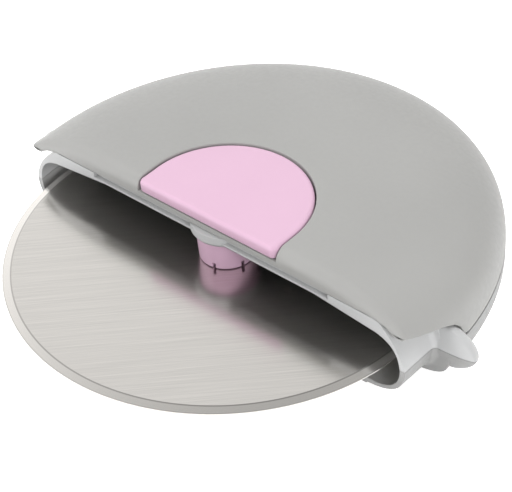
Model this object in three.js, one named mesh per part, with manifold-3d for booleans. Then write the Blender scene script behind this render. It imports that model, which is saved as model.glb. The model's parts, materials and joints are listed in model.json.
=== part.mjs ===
// Palm-held pastry cutter wheel, in millimetres. X runs along the mouth, +Y towards the back
// of the palm cover, +Z up. The origin is on the wheel's axis, at the plane the cutter rests on.
import * as THREE from "three";
import { mergeVertices } from "three/addons/utils/BufferGeometryUtils.js";
import Module from "manifold-3d";

const wasm = await Module();
wasm.setup();

// Wheel
const WHEEL_R = 50;
const WHEEL_THICK = 1.2;
const GRIND_WIDTH = 1.9;
const EDGE_THICK = 0.25;

// Outline and depths of the shells, the depths measured from the parting plane
const SIDE_RIM = 7.6;
const REAR_RIM = 12;
const OUTLINE_BACK = 2.8;
const MOUTH_Y = -6.3;
const TOP_DEPTH = 15.3;
const BOTTOM_DEPTH = 9;
const TOP_POWER = 2.75;
const BOTTOM_POWER = 4.2;
const CROWN_SHARE = 0.55;
const WALL = 2;
const DOME_STEPS = 8;

// Space the wheel turns in
const WHEEL_CLEAR = 3.1;
const CEILING = 8.9;
const FLOOR = 7;
const CEILING_ROUND = 6.2;
const CEILING_DROP = 1.7;

// Palm cover
const FRONT_ROUND = 3.2;
const NOSE_ROUND = 0.8;
const FLANGE_DEPTH = 4.4;
const TRAY_DEPTH = 3.1;
const NOSE_RISE = 8.4;
const LUG_EDGE_RISE = 6;

// Frame under the cover
const ROOF_THICK = 1.7;
const LIP = 0.4;
const SETBACK = 1.1;
const SETBACK_HALF = 34;
const COLLAR_DROP = 1.1;
const COLLAR_WALL = 0.8;
const ROOF_WEB = 0.9;
const ROOF_BOSS_R = 2.5;
const ROOF_BOSS_DROP = 1.5;
const ROOF_BOSS_FLOOR = 0.8;

// Waists in front of the finger lugs
const WAIST_WALL = 0.9;
const WAIST_RISE = 11.2;
const WAIST_LEAN = 7.8;
const WAIST_FALL = 8.3;
const WAIST_TUCK = 10.2;
const WAIST_ROUND = 1.5;

// Finger lugs
const LUG_ROOT_OUT = 0.3;
const LUG_REACH = 6;
const LUG_Y = 5.3;
const LUG_FRONT = 1.6;
const LUG_BACK = 4.8;
const LUG_UP = 5.4;
const LUG_DOWN = 5.4;
const LUG_CREASE = 1.4;

// Button and axle pin
const BUTTON_R = 19.8;
const BUTTON_ROUND = 1;
const BUTTON_CORNER = 1.5;
const PIN_R = 3.5;
const PIN_FLANGE_R = 5;
const PIN_FLANGE = 0.8;
const PIN_TIP = 0.9;
const PIN_GROOVE = 0.35;

// Hubs above and below the wheel
const HUB_R = 6.3;
const HUB_FLARE = 0.3;
const NOTCHES = 6;
const NOTCH_WIDTH = 0.8;
const NOTCH_HEIGHT = 1.5;
const NOTCH_TURN = -76;

// Case screws
const REAR_SPREAD = THREE.MathUtils.degToRad(35);
const REAR_INTO_RIM = 0.38;
const REAR_SHANK_R = 1.1;
const REAR_HEAD_R = 1.9;
const REAR_SEAT = 3.4;
const REAR_REACH = 5;
const REAR_POST_R = 2.3;
const LUG_SHANK_R = 1;
const LUG_HEAD_R = 1.7;
const LUG_SEAT = 5.5;
const LUG_SCREW_REACH = 3.9;
const LUG_SCREW_OUT = 3.4;
const LUG_SCREW_BACK = 1.2;
const TRAY_SCREW_X = 13;
const TRAY_SCREW_Y = 5;
const TRAY_SHANK_R = 1;
const TRAY_HEAD_R = 1.9;
const TRAY_HEAD = 0.9;
const HEAD_THICK = 1.2;
const DRIVE_DEPTH = 0.6;
const DRIVE_WIDTH = 0.6;

// Clearances
const FIT = 0.3;
const RUN = 0.2;
const JOINT_GAP = 0.15;
const OVER = 5;

// Sizes that follow from the ones above
const HALF_WIDTH = WHEEL_R + SIDE_RIM;
const HALF_LENGTH = WHEEL_R + REAR_RIM;
const CROWN = HALF_LENGTH * CROWN_SHARE;
const PART_Z = BOTTOM_DEPTH;
const TOP_Z = PART_Z + TOP_DEPTH;
const CAVITY_R = WHEEL_R + WHEEL_CLEAR;
const ROOF_Z = PART_Z + CEILING;
const FLOOR_Z = PART_Z - FLOOR;
const FLANGE_Z = TOP_Z - FLANGE_DEPTH;
const TRAY_Z = TOP_Z - TRAY_DEPTH;
const WAIST_X = CAVITY_R + WAIST_WALL;
const WHEEL_TOP = PART_Z + WHEEL_THICK / 2;
const WHEEL_UNDER = PART_Z - WHEEL_THICK / 2;
const BORE_R = PIN_R + RUN;
const BUTTON_Z = TRAY_Z + FIT;
const HUB_TOP_R = HUB_R + HUB_FLARE;
const COLLAR_R = HUB_TOP_R + FIT;
const COLLAR_OUT_R = COLLAR_R + COLLAR_WALL;
const COLLAR_Z = ROOF_Z + ROOF_THICK - ROOF_WEB;
const PIN_Z = FLOOR_Z + 1;
const SCREW_RING_R = CAVITY_R + (HALF_LENGTH + OUTLINE_BACK - CAVITY_R) * REAR_INTO_RIM;
const LUG_SCREW_X = CAVITY_R + LUG_SCREW_OUT;
const LUG_SCREW_Y = LUG_Y + LUG_SCREW_BACK;

const COVER_GREY = { color: 0xb6b5b2, roughness: 0.55, metalness: 0 };
const SHELL_GREY = { color: 0xc8c9cc, roughness: 0.5, metalness: 0 };
const PINK = { color: 0xf0cde2, roughness: 0.45, metalness: 0 };
const STEEL = { color: 0xc6c3be, roughness: 0.3, metalness: 1 };
const SCREW_STEEL = { color: 0x9a9a98, roughness: 0.35, metalness: 1 };

// A three.js geometry as a closed solid that faces outwards.
function solid(geometry) {
  const loose = geometry.index ? geometry.toNonIndexed() : geometry.clone();
  loose.deleteAttribute("normal");
  loose.deleteAttribute("uv");
  const merged = mergeVertices(loose, 1e-4);
  const corners = Array.from(merged.index.array);
  const kept = [];
  for (let i = 0; i < corners.length; i += 3) {
    const [a, b, c] = corners.slice(i, i + 3);
    if (a !== b && b !== c && c !== a) kept.push(a, b, c);
  }
  const build = (triVerts) =>
    new wasm.Manifold(
      new wasm.Mesh({
        numProp: 3,
        vertProperties: new Float32Array(merged.attributes.position.array),
        triVerts: new Uint32Array(triVerts),
      }),
    );
  const made = build(kept);
  return made.volume() < 0 ? build(kept.slice().reverse()) : made;
}

// One named mesh of the finished group.
function part(name, body, finish) {
  const { vertProperties, triVerts, numProp } = body.getMesh();
  const flat = new Float32Array((vertProperties.length / numProp) * 3);
  for (let i = 0; i < flat.length / 3; i++) {
    flat.set(vertProperties.subarray(i * numProp, i * numProp + 3), i * 3);
  }
  const geometry = new THREE.BufferGeometry();
  geometry.setAttribute("position", new THREE.BufferAttribute(flat, 3));
  geometry.setIndex(new THREE.BufferAttribute(new Uint32Array(triVerts), 1));
  const faceted = geometry.toNonIndexed();
  faceted.computeVertexNormals();
  const mesh = new THREE.Mesh(faceted, new THREE.MeshStandardMaterial(finish));
  mesh.name = name;
  return mesh;
}

// A body turned about the Z axis from a profile of [radius, height] pairs.
function turned(profile, segments) {
  const points = profile.map(([r, z]) => new THREE.Vector2(r, z));
  return solid(new THREE.LatheGeometry(points, segments).rotateX(Math.PI / 2));
}

// A tube between two heights, or a plain disc when the inner radius is zero.
function ring(outer, inner, low, high, segments = 32) {
  const profile = [
    [inner, low],
    [outer, low],
    [outer, high],
    [inner, high],
  ];
  return turned(inner > 0 ? [...profile, profile[0]] : profile, segments);
}

function at(body, x, y) {
  return body.translate([x, y, 0]);
}

function block(x0, x1, y0, y1, z0, z1) {
  const box = new THREE.BoxGeometry(x1 - x0, y1 - y0, z1 - z0);
  return solid(box.translate((x0 + x1) / 2, (y0 + y1) / 2, (z0 + z1) / 2));
}

const aboveZ = (body, z) => body.trimByPlane([0, 0, 1], z);
const belowZ = (body, z) => body.trimByPlane([0, 0, -1], -z);
const behindMouth = (body) => body.trimByPlane([0, 1, 0], MOUTH_Y);

// Half of the shells' outer form, shrunk by an inset on every side. Positive depth is the
// palm side and negative depth the underside.
function dome(inset, depth, power) {
  const reach = HALF_LENGTH - inset;
  const crown = CROWN - inset;
  const height = Math.abs(depth) - inset;
  const profile = [[0, 0], [reach, 0]];
  for (let i = 1; i <= DOME_STEPS; i++) {
    const angle = (i / DOME_STEPS) * (Math.PI / 2);
    const inward = 1 - Math.max(Math.cos(angle), 0) ** (2 / power);
    const rise = Math.sin(angle) ** (2 / power);
    profile.push([reach - crown * inward, height * rise * Math.sign(depth)]);
  }
  profile.push([0, height * Math.sign(depth)]);
  return turned(profile, 64)
    .scale([(HALF_WIDTH - inset) / reach, 1, 1])
    .translate([0, OUTLINE_BACK, PART_Z]);
}

const topDome = (inset) => dome(inset, TOP_DEPTH, TOP_POWER);
const bottomDome = (inset) => dome(inset, -BOTTOM_DEPTH, BOTTOM_POWER);

// The round space the wheel turns in.
function cavity() {
  const edge = CAVITY_R - CEILING_ROUND;
  const path = new THREE.Path();
  path.moveTo(0, -FLOOR);
  path.lineTo(edge, -FLOOR);
  path.quadraticCurveTo(CAVITY_R, -FLOOR + 1, CAVITY_R, 0);
  path.quadraticCurveTo(CAVITY_R - 0.4, CEILING - 2.7, edge, CEILING - CEILING_DROP);
  path.lineTo(edge * 0.66, CEILING);
  path.lineTo(0, CEILING);
  const profile = path.getPoints(4).map((p) => [p.x, p.y]);
  return turned(profile, 64).translate([0, 0, PART_Z]);
}

// A point of the dome's edge on the mouth plane, from the left rim (0) to the right rim (1).
function frontEdge(t) {
  const angle = (1 - t) * Math.PI;
  const up = Math.max(Math.sin(angle), 0) ** (2 / TOP_POWER);
  const inward = 1 - Math.abs(Math.cos(angle)) ** (2 / TOP_POWER);
  const level = HALF_LENGTH - CROWN * inward;
  const half = Math.sqrt(Math.max(level ** 2 - (MOUTH_Y - OUTLINE_BACK) ** 2, 0));
  const x = Math.sign(Math.cos(angle)) * half * (HALF_WIDTH / HALF_LENGTH);
  return new THREE.Vector3(x, MOUTH_Y, PART_Z + TOP_DEPTH * up);
}

// What comes off the cover to round its front edge: a full round across the middle that
// dies away towards the two noses.
function frontRounding() {
  const steps = 32;
  const shape = new THREE.Shape();
  shape.moveTo(0.5, -0.5);
  shape.lineTo(0.5, 1);
  shape.lineTo(0, 1);
  shape.absarc(-1, 1, 1, 0, -Math.PI / 2, true);
  shape.lineTo(-1, -0.5);
  const geometry = new THREE.ExtrudeGeometry(shape, {
    depth: 1,
    steps,
    curveSegments: 3,
    bevelEnabled: false,
  });
  const spot = geometry.attributes.position;
  for (let i = 0; i < spot.count; i++) {
    const t = THREE.MathUtils.clamp(spot.getZ(i), 0, 1);
    const here = frontEdge(t);
    const along = frontEdge(Math.min(t + 0.01, 1)).sub(frontEdge(Math.max(t - 0.01, 0)));
    const inward = new THREE.Vector3(along.z, 0, -along.x).normalize();
    const full = THREE.MathUtils.smoothstep(here.z, PART_Z + TOP_DEPTH * 0.5, TOP_Z);
    const radius = THREE.MathUtils.lerp(NOSE_ROUND, FRONT_ROUND, full);
    here.addScaledVector(inward, spot.getY(i) * radius);
    spot.setXYZ(i, here.x, here.y - spot.getX(i) * radius, here.z);
  }
  return solid(geometry);
}

// Everything under the cover's lower edge, which rises over the lugs to the mouth.
function underCover() {
  const shape = new THREE.Shape();
  const front = LUG_Y - LUG_FRONT / 2;
  const back = LUG_Y + LUG_BACK + 0.5;
  shape.moveTo(MOUTH_Y - OVER, -OVER);
  shape.lineTo(MOUTH_Y - OVER, NOSE_RISE + 0.4);
  shape.lineTo(MOUTH_Y + 1, NOSE_RISE);
  shape.lineTo(front, LUG_EDGE_RISE);
  shape.quadraticCurveTo(LUG_Y + LUG_BACK * 0.6, LUG_EDGE_RISE * 0.5, back, JOINT_GAP);
  shape.lineTo(HALF_LENGTH + OUTLINE_BACK + OVER, JOINT_GAP);
  shape.lineTo(HALF_LENGTH + OUTLINE_BACK + OVER, -OVER);
  const width = 2 * (HALF_WIDTH + OVER);
  const geometry = new THREE.ExtrudeGeometry(shape, {
    depth: width,
    curveSegments: 8,
    bevelEnabled: false,
  });
  geometry.rotateX(Math.PI / 2).rotateZ(Math.PI / 2);
  return solid(geometry.translate(-width / 2, 0, PART_Z));
}

// A finger lug with a sharp crease on the parting plane, grown by a margin on every side.
function lug(side, margin = 0) {
  const geometry = new THREE.SphereGeometry(1, 22, 12).rotateX(Math.PI / 2);
  const spot = geometry.attributes.position;
  const root = WAIST_X + LUG_ROOT_OUT;
  const reach = HALF_WIDTH + LUG_REACH - root + margin;
  for (let i = 0; i < spot.count; i++) {
    const [x, y, z] = [spot.getX(i), spot.getY(i), spot.getZ(i)];
    const back = y > 0 ? LUG_BACK : LUG_FRONT;
    const rise = z > 0 ? LUG_UP : LUG_DOWN;
    const lens = Math.sign(z) * Math.abs(z) ** LUG_CREASE;
    spot.setXYZ(
      i,
      side * (root + x * reach),
      LUG_Y + y * (back + margin),
      PART_Z + lens * (rise + margin),
    );
  }
  return solid(geometry);
}

// The part of a half shell that the waist in front of one lug takes away.
function waist(side) {
  const top = WAIST_X - WAIST_LEAN;
  const low = WAIST_X - WAIST_TUCK;
  const shape = new THREE.Shape();
  shape.moveTo(top, WAIST_RISE);
  shape.quadraticCurveTo(WAIST_X - 1, WAIST_RISE * 0.54, WAIST_X, 0);
  shape.quadraticCurveTo(WAIST_X, -WAIST_FALL * 0.94, low, -WAIST_FALL);
  shape.lineTo(low, -TOP_DEPTH);
  shape.lineTo(HALF_WIDTH + OVER, -TOP_DEPTH);
  shape.lineTo(HALF_WIDTH + OVER, TOP_DEPTH);
  shape.lineTo(top, TOP_DEPTH);
  const end = LUG_Y - LUG_FRONT + 0.2;
  const depth = end - MOUTH_Y + OVER;
  const geometry = new THREE.ExtrudeGeometry(shape, {
    depth: depth - 2 * WAIST_ROUND,
    curveSegments: 6,
    bevelThickness: WAIST_ROUND,
    bevelSize: WAIST_ROUND,
    bevelOffset: -WAIST_ROUND,
    bevelSegments: 2,
  });
  geometry.rotateX(Math.PI / 2).translate(0, end - WAIST_ROUND, PART_Z);
  const body = solid(geometry);
  return side > 0 ? body : body.mirror([1, 0, 0]);
}

// The button's outline: half a disc behind the axis, straight sides down to the mouth.
function buttonShape(radius, front, corner) {
  const shape = new THREE.Shape();
  shape.moveTo(radius, 0);
  shape.absarc(0, 0, radius, 0, Math.PI, false);
  if (corner > 0) {
    shape.lineTo(-radius, front + corner);
    shape.quadraticCurveTo(-radius, front, -radius + corner, front);
    shape.lineTo(radius - corner, front);
    shape.quadraticCurveTo(radius, front, radius, front + corner);
  } else {
    shape.lineTo(-radius, front);
    shape.lineTo(radius, front);
  }
  return shape;
}

function plate(shape, low, high) {
  const geometry = new THREE.ExtrudeGeometry(shape, {
    depth: high - low,
    curveSegments: 16,
    bevelEnabled: false,
  });
  return solid(geometry.translate(0, 0, low));
}

// Where the rear screws stand, left to right.
function rearSpots() {
  return [1, 0, -1].map((i) => {
    const angle = Math.PI / 2 + i * REAR_SPREAD;
    return [SCREW_RING_R * Math.cos(angle), SCREW_RING_R * Math.sin(angle)];
  });
}

const traySpots = () => [-1, 1].map((side) => [side * TRAY_SCREW_X, TRAY_SCREW_Y]);

const lugSpots = () => [-1, 1].map((side) => [side * LUG_SCREW_X, LUG_SCREW_Y]);

// Room for a screw: head recess from below, then the shank hole up to a height.
function screwRoom(headR, seat, shankR, top, segments = 16) {
  return turned(
    [
      [0, -OVER],
      [headR + FIT, -OVER],
      [headR + FIT, seat],
      [shankR + JOINT_GAP, seat],
      [shankR + JOINT_GAP, top],
      [0, top],
    ],
    segments,
  );
}

function screw(headR, headThick, seat, shankR, top) {
  const head = seat - JOINT_GAP;
  const body = turned(
    [
      [0, head - headThick],
      [headR, head - headThick],
      [headR, head],
      [shankR, head],
      [shankR, top - shankR],
      [0, top],
    ],
    16,
  );
  const low = head - headThick;
  const slot = (w, d) => block(-w, w, -d, d, low - 1, low + DRIVE_DEPTH);
  const arm = headR * 0.6;
  return body
    .subtract(slot(arm, DRIVE_WIDTH / 2))
    .subtract(slot(DRIVE_WIDTH / 2, arm));
}

// Crescent pocket that thins the thick rear rim, clear of the screw posts.
function rimPocket(domeOf, low, high) {
  const inner = ring(CAVITY_R + WALL, 0, -OVER, TOP_Z + OVER, 64);
  let pocket = domeOf(WALL + FIT + WALL).subtract(inner);
  pocket = aboveZ(belowZ(pocket, high), low);
  pocket = pocket.trimByPlane([0, 1, 0], LUG_Y + LUG_BACK + OVER);
  for (const [x, y] of rearSpots()) {
    pocket = pocket.subtract(at(ring(REAR_POST_R + FIT + WALL, 0, -OVER, TOP_Z, 20), x, y));
  }
  return pocket;
}

function topCover() {
  const outer = behindMouth(topDome(0)).subtract(frontRounding());
  const wide = HALF_WIDTH + OVER;
  const low = PART_Z + JOINT_GAP;
  let hollow = topDome(WALL)
    .subtract(block(-wide, wide, MOUTH_Y - OVER, MOUTH_Y + WALL, FLANGE_Z, TOP_Z))
    .subtract(plate(buttonShape(BUTTON_R + FIT + WALL, MOUTH_Y - OVER, 0), FLANGE_Z, TOP_Z));
  for (const [x, y] of rearSpots()) {
    hollow = hollow.subtract(at(ring(REAR_POST_R, 0, low, TOP_Z, 20), x, y));
  }
  let body = outer
    .subtract(hollow)
    .subtract(plate(buttonShape(BUTTON_R + FIT, MOUTH_Y - OVER, 0), TRAY_Z, TOP_Z + 1))
    .subtract(ring(BORE_R, 0, 0, TOP_Z, 28))
    .subtract(underCover());
  for (const [x, y] of traySpots()) {
    body = body.subtract(at(ring(TRAY_SHANK_R + FIT, 0, 0, TOP_Z, 14), x, y));
  }
  for (const side of [-1, 1]) body = body.subtract(lug(side, FIT));
  for (const [x, y] of rearSpots()) {
    const thread = ring(REAR_SHANK_R + JOINT_GAP, 0, 0, low + REAR_REACH + FIT, 14);
    body = body.subtract(at(thread, x, y));
  }
  return body;
}

function upperFrame() {
  let body = aboveZ(topDome(WALL + FIT), PART_Z + JOINT_GAP);
  body = belowZ(body, ROOF_Z + ROOF_THICK);
  body = body.subtract(rimPocket(topDome, 0, ROOF_Z));
  for (const side of [-1, 1]) {
    body = body.subtract(waist(side)).add(aboveZ(lug(side), PART_Z + JOINT_GAP));
  }
  body = behindMouth(body.subtract(cavity()));
  const half = SETBACK_HALF;
  const mouth = block(-half, half, MOUTH_Y - 1, MOUTH_Y + SETBACK, ROOF_Z + LIP, TOP_Z);
  const roofTop = ROOF_Z + ROOF_THICK;
  body = body
    .subtract(mouth)
    .add(ring(COLLAR_OUT_R, 0, ROOF_Z - COLLAR_DROP, roofTop, 40))
    .subtract(ring(COLLAR_R, 0, 0, COLLAR_Z, 36))
    .subtract(ring(BORE_R, 0, 0, TOP_Z, 28));
  for (const [x, y] of traySpots()) {
    const low = ROOF_Z - ROOF_BOSS_DROP;
    body = body
      .add(at(ring(ROOF_BOSS_R, 0, low, roofTop, 18), x, y))
      .subtract(at(ring(TRAY_SHANK_R + JOINT_GAP, 0, low + ROOF_BOSS_FLOOR, TOP_Z, 14), x, y));
  }
  for (const [x, y] of rearSpots()) {
    body = body.subtract(at(ring(REAR_POST_R + FIT, 0, 0, TOP_Z, 20), x, y));
  }
  const thread = ring(LUG_SHANK_R + JOINT_GAP, 0, 0, PART_Z + LUG_SCREW_REACH + FIT, 14);
  for (const [x, y] of lugSpots()) body = body.subtract(at(thread, x, y));
  return body;
}

function lowerShell() {
  const top = PART_Z - JOINT_GAP;
  let body = belowZ(bottomDome(0), top);
  body = body.subtract(rimPocket(bottomDome, FLOOR_Z + 1, PART_Z));
  for (const side of [-1, 1]) {
    body = body.subtract(waist(side)).add(belowZ(lug(side), top));
  }
  body = behindMouth(body.subtract(cavity()));
  body = body
    .add(ring(COLLAR_OUT_R, 0, FLOOR_Z - 1, FLOOR_Z + COLLAR_DROP, 40))
    .subtract(ring(COLLAR_R, 0, FLOOR_Z - 0.5, TOP_Z, 36));
  for (const [x, y] of rearSpots()) {
    body = body.subtract(at(screwRoom(REAR_HEAD_R, REAR_SEAT, REAR_SHANK_R, TOP_Z), x, y));
  }
  for (const [x, y] of lugSpots()) {
    body = body.subtract(at(screwRoom(LUG_HEAD_R, LUG_SEAT, LUG_SHANK_R, TOP_Z), x, y));
  }
  return body;
}

function blade() {
  const ground = WHEEL_R - GRIND_WIDTH;
  const [half, edge] = [WHEEL_THICK / 2, EDGE_THICK / 2];
  const profile = [
    [BORE_R, -half],
    [ground, -half],
    [WHEEL_R, -edge],
    [WHEEL_R, edge],
    [ground, half],
    [BORE_R, half],
    [BORE_R, -half],
  ];
  return turned(profile, 96).translate([0, 0, PART_Z]);
}

function centerButton() {
  const shape = buttonShape(BUTTON_R, MOUTH_Y, BUTTON_CORNER);
  const geometry = new THREE.ExtrudeGeometry(shape, {
    depth: TRAY_DEPTH,
    curveSegments: 18,
    bevelThickness: BUTTON_ROUND,
    bevelSize: BUTTON_ROUND,
    bevelOffset: -BUTTON_ROUND,
    bevelSegments: 2,
  });
  geometry.translate(0, 0, TOP_Z - TRAY_DEPTH - BUTTON_ROUND);
  let body = aboveZ(solid(geometry), BUTTON_Z).subtract(
    ring(PIN_FLANGE_R + FIT, 0, 0, BUTTON_Z + PIN_FLANGE + 2 * JOINT_GAP, 32),
  );
  for (const [x, y] of traySpots()) {
    const pocket = ring(TRAY_HEAD_R + FIT, 0, 0, BUTTON_Z + TRAY_HEAD + JOINT_GAP, 18);
    body = body.subtract(at(pocket, x, y));
  }
  return body;
}

// Flanged pin that carries the wheel and comes away with the button.
function axlePin() {
  const grip = WHEEL_TOP + FIT + NOTCH_HEIGHT / 2;
  return turned(
    [
      [0, PIN_Z],
      [PIN_R - PIN_TIP, PIN_Z],
      [PIN_R, PIN_Z + PIN_TIP],
      [PIN_R, grip - PIN_GROOVE],
      [PIN_R - PIN_GROOVE, grip],
      [PIN_R, grip + PIN_GROOVE],
      [PIN_R, BUTTON_Z + JOINT_GAP],
      [PIN_FLANGE_R, BUTTON_Z + JOINT_GAP],
      [PIN_FLANGE_R, BUTTON_Z + JOINT_GAP + PIN_FLANGE],
      [0, BUTTON_Z + JOINT_GAP + PIN_FLANGE],
    ],
    32,
  );
}

// Hub above the wheel, with short spring fingers at its lower end.
function upperHub() {
  const low = WHEEL_TOP + FIT;
  const top = COLLAR_Z - FIT;
  let body = turned(
    [
      [BORE_R, low],
      [HUB_R, low],
      [HUB_TOP_R, ROOF_Z - COLLAR_DROP],
      [HUB_TOP_R, top],
      [BORE_R, top],
      [BORE_R, low],
    ],
    42,
  );
  const w = NOTCH_WIDTH / 2;
  for (let i = 0; i < NOTCHES; i++) {
    const cut = block(0, HUB_R + 1, -w, w, low - 1, low + NOTCH_HEIGHT);
    body = body.subtract(cut.rotate([0, 0, NOTCH_TURN + (i * 360) / NOTCHES]));
  }
  return body;
}

const lowerHub = () =>
  ring(HUB_TOP_R, BORE_R, FLOOR_Z - 0.5 + JOINT_GAP, WHEEL_UNDER - FIT, 36);

const rearScrew = ([x, y]) =>
  at(screw(REAR_HEAD_R, HEAD_THICK, REAR_SEAT, REAR_SHANK_R, PART_Z + REAR_REACH), x, y);

const lugScrew = ([x, y]) =>
  at(screw(LUG_HEAD_R, HEAD_THICK, LUG_SEAT, LUG_SHANK_R, PART_Z + LUG_SCREW_REACH), x, y);

const trayScrew = ([x, y]) => {
  const tip = ROOF_Z - ROOF_BOSS_DROP + ROOF_BOSS_FLOOR + FIT;
  const upsideDown = screw(TRAY_HEAD_R, TRAY_HEAD - FIT, -TRAY_Z, TRAY_SHANK_R, -tip);
  return at(upsideDown.rotate([180, 0, 0]), x, y);
};

const group = new THREE.Group();
group.name = "pastry_cutter_wheel";
const [rearLeft, rearCenter, rearRight] = rearSpots();
const [lugLeft, lugRight] = lugSpots();
const [trayLeft, trayRight] = traySpots();
group.add(
  part("top_cover", topCover(), COVER_GREY),
  part("upper_frame", upperFrame(), SHELL_GREY),
  part("lower_shell", lowerShell(), SHELL_GREY),
  part("blade", blade(), STEEL),
  part("center_button", centerButton(), PINK),
  part("axle_pin", axlePin(), STEEL),
  part("upper_hub", upperHub(), PINK),
  part("lower_hub", lowerHub(), PINK),
  part("rear_screw_left", rearScrew(rearLeft), SCREW_STEEL),
  part("rear_screw_center", rearScrew(rearCenter), SCREW_STEEL),
  part("rear_screw_right", rearScrew(rearRight), SCREW_STEEL),
  part("lug_screw_left", lugScrew(lugLeft), SCREW_STEEL),
  part("lug_screw_right", lugScrew(lugRight), SCREW_STEEL),
  part("tray_screw_left", trayScrew(trayLeft), SCREW_STEEL),
  part("tray_screw_right", trayScrew(trayRight), SCREW_STEEL),
);

export default group;
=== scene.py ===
"""A palm-held pastry cutter wheel: domed grey cover, U frame, pink button and steel wheel."""

import json
import logging
import math
from dataclasses import dataclass
from enum import Enum
from typing import Union

import bmesh
import bpy
import numpy as np
from mathutils import Matrix, Vector

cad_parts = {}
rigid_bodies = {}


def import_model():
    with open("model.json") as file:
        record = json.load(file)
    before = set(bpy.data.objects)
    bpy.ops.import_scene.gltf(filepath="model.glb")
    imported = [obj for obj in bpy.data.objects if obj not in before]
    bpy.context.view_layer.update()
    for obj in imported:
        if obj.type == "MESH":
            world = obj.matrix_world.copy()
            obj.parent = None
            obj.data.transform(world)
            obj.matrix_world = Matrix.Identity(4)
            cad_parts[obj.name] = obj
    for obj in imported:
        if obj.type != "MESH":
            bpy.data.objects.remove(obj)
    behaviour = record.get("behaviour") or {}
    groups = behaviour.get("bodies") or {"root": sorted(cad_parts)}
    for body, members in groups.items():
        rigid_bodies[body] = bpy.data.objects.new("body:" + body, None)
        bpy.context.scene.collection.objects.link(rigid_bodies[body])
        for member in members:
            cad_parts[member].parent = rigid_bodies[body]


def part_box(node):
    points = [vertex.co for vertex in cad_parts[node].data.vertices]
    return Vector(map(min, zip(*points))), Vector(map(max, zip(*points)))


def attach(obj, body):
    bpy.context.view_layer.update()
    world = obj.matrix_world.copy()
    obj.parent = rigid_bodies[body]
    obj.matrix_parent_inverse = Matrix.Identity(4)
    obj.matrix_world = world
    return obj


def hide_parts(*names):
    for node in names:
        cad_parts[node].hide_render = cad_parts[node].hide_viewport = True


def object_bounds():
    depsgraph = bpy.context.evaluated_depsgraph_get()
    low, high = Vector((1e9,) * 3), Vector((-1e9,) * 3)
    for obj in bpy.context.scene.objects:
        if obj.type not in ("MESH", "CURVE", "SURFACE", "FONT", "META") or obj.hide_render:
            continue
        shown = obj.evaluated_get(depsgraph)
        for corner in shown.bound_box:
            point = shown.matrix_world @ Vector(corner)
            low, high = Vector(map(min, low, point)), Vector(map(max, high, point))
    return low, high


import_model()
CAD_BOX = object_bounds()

log = logging.getLogger("cutter")
MM = 0.001
FAR, HIGH = 90, 40  # how far cutting tools reach, beyond the object
HAIRLINE = 0.03  # half the gap that shows on the parting plane
CENTRE = ((0, 0),)
Source = Union[bpy.types.NodeSocket, float, tuple]


def to_mm(point: Vector) -> np.ndarray:
    """A frame point in millimetres.

    Args:
    Returns:
        The same point in millimetres.
    """
    return np.array(point) / MM


@dataclass
class Sizes:
    """The sizes several pieces share, in millimetres, read from the frame."""

    wheel_r: float = 0
    mid: float = 0
    top: float = 0
    half_width: float = 57.6
    half_length: float = 0
    mouth: float = 0
    shift: float = 2.8
    rim_up: float = 15.3
    rim_down: float = 9.0
    top_power: float = 2.75
    low_power: float = 4.2
    crown_share: float = 0.55
    wall: float = 2.0
    fit: float = 0.3
    gap: float = 0.15
    button_r: float = 19.8
    lug_y: float = 5.3
    lug_front: float = 1.6
    lug_back: float = 4.8
    lug_rise: float = 5.4
    lug_root: float = 54.3
    lug_tip: float = 63.6
    cavity_r: float = 53.1
    roof: float = 17.9
    floor: float = 2.0
    bore: float = 3.7
    tray_spots: tuple = ((-13, 5), (13, 5))

    @classmethod
    def from_frame(cls) -> "Sizes":
        """Reads the overall sizes from the CAD boxes.

        Returns:
            The filled sizes.
        """
        low, high = (to_mm(p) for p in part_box("blade"))
        cover_low, cover_high = (to_mm(p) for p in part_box("top_cover"))
        made = cls(wheel_r=float(high[0]), mid=float((low[2] + high[2]) / 2))
        made.top = float(cover_high[2])
        made.half_length = float(cover_high[1]) - made.shift
        made.mouth = float(cover_low[1])
        made.lug_tip = float(CAD_BOX[1][0] / MM)
        return made

    @property
    def crown(self) -> float:
        """How far the dome's curve runs in from the rim.

        Returns:
            The distance in millimetres.
        """
        return self.half_length * self.crown_share


class Boolean(Enum):
    """The ways two solids are combined."""

    CUT = "DIFFERENCE"
    JOIN = "UNION"


# ---------------------------------------------------------------- mesh helpers


def link(name: str, data: bpy.types.ID) -> bpy.types.Object:
    """Makes an object of some data and links it to the scene.

    Args:
        name: the object's name.
        data: a mesh, light or camera.
    Returns:
        The object.
    """
    obj = bpy.data.objects.new(name, data)
    bpy.context.scene.collection.objects.link(obj)
    return obj


def mesh_object(name: str, verts: np.ndarray, faces: list) -> bpy.types.Object:
    """Makes a clean object: doubled points welded, flat faces dropped, normals outwards.

    Args:
        name: the object's name.
        verts: an array of points in millimetres.
        faces: lists of point indices.
    Returns:
        The linked object.
    """
    mesh = bpy.data.meshes.new(name)
    points = [tuple(p) for p in np.asarray(verts, float) * MM]
    mesh.from_pydata(points, [], [tuple(int(i) for i in f) for f in faces])
    bm = bmesh.new()
    bm.from_mesh(mesh)
    bmesh.ops.remove_doubles(bm, verts=bm.verts, dist=2e-6)
    bmesh.ops.dissolve_degenerate(bm, edges=bm.edges, dist=1e-7)
    bmesh.ops.recalc_face_normals(bm, faces=bm.faces)
    if bm.calc_volume(signed=True) < 0:
        bmesh.ops.reverse_faces(bm, faces=bm.faces)
    bm.to_mesh(mesh)
    bm.free()
    return link(name, mesh)


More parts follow.
